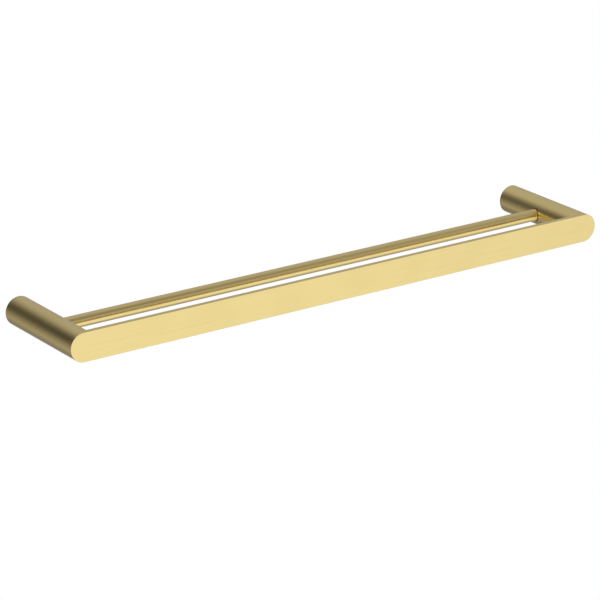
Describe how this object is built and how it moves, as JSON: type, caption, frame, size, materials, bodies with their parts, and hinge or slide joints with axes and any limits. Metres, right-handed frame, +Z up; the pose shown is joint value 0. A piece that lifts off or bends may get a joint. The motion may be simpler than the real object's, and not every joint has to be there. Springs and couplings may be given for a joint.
{
  "type": "towel rack",
  "caption": "Wall-hung double towel rail: flat round-ended front bar, round rear bar, both held by round posts that lock onto hidden wall spigots.",
  "frame": {"origin": "on the wall plane, midway between the two posts and level with their axes", "axes": "+X along the bars to the right seen from the room, +Y into the wall, +Z up; the rail lies at negative Y"},
  "size_m": [0.6, 0.115, 0.028],
  "materials": {
    "satin_gold": "brushed satin gold coating",
    "raw_brass": "turned, uncoated",
    "stainless": "plain stainless fastener"
  },
  "bodies": {
    "wall_brackets": {"left_wall_bracket": "raw_brass", "right_wall_bracket": "raw_brass"},
    "rail": {"front_bar": "satin_gold", "rear_bar": "satin_gold", "left_post": "satin_gold", "left_rear_bar_socket": "raw_brass", "left_post_boss": "raw_brass", "left_stud": "stainless", "left_washer": "stainless", "left_nut": "stainless", "right_post": "satin_gold", "right_rear_bar_socket": "raw_brass", "right_post_boss": "raw_brass", "right_stud": "stainless", "right_washer": "stainless", "right_nut": "stainless"},
    "left_grub": {"left_grub_screw": "stainless"},
    "right_grub": {"right_grub_screw": "stainless"}
  },
  "joints": [
    {"name": "rail_slide", "type": "slide", "parent": "wall_brackets", "child": "rail", "axis": [0, -1, 0], "range_m": [0, 0.015]},
    {"name": "left_grub_travel", "type": "slide", "parent": "rail", "child": "left_grub", "axis": [0, 0, -1], "range_m": [0, 0.0032]},
    {"name": "right_grub_travel", "type": "slide", "parent": "rail", "child": "right_grub", "axis": [0, 0, -1], "range_m": [0, 0.0032]}
  ]
}
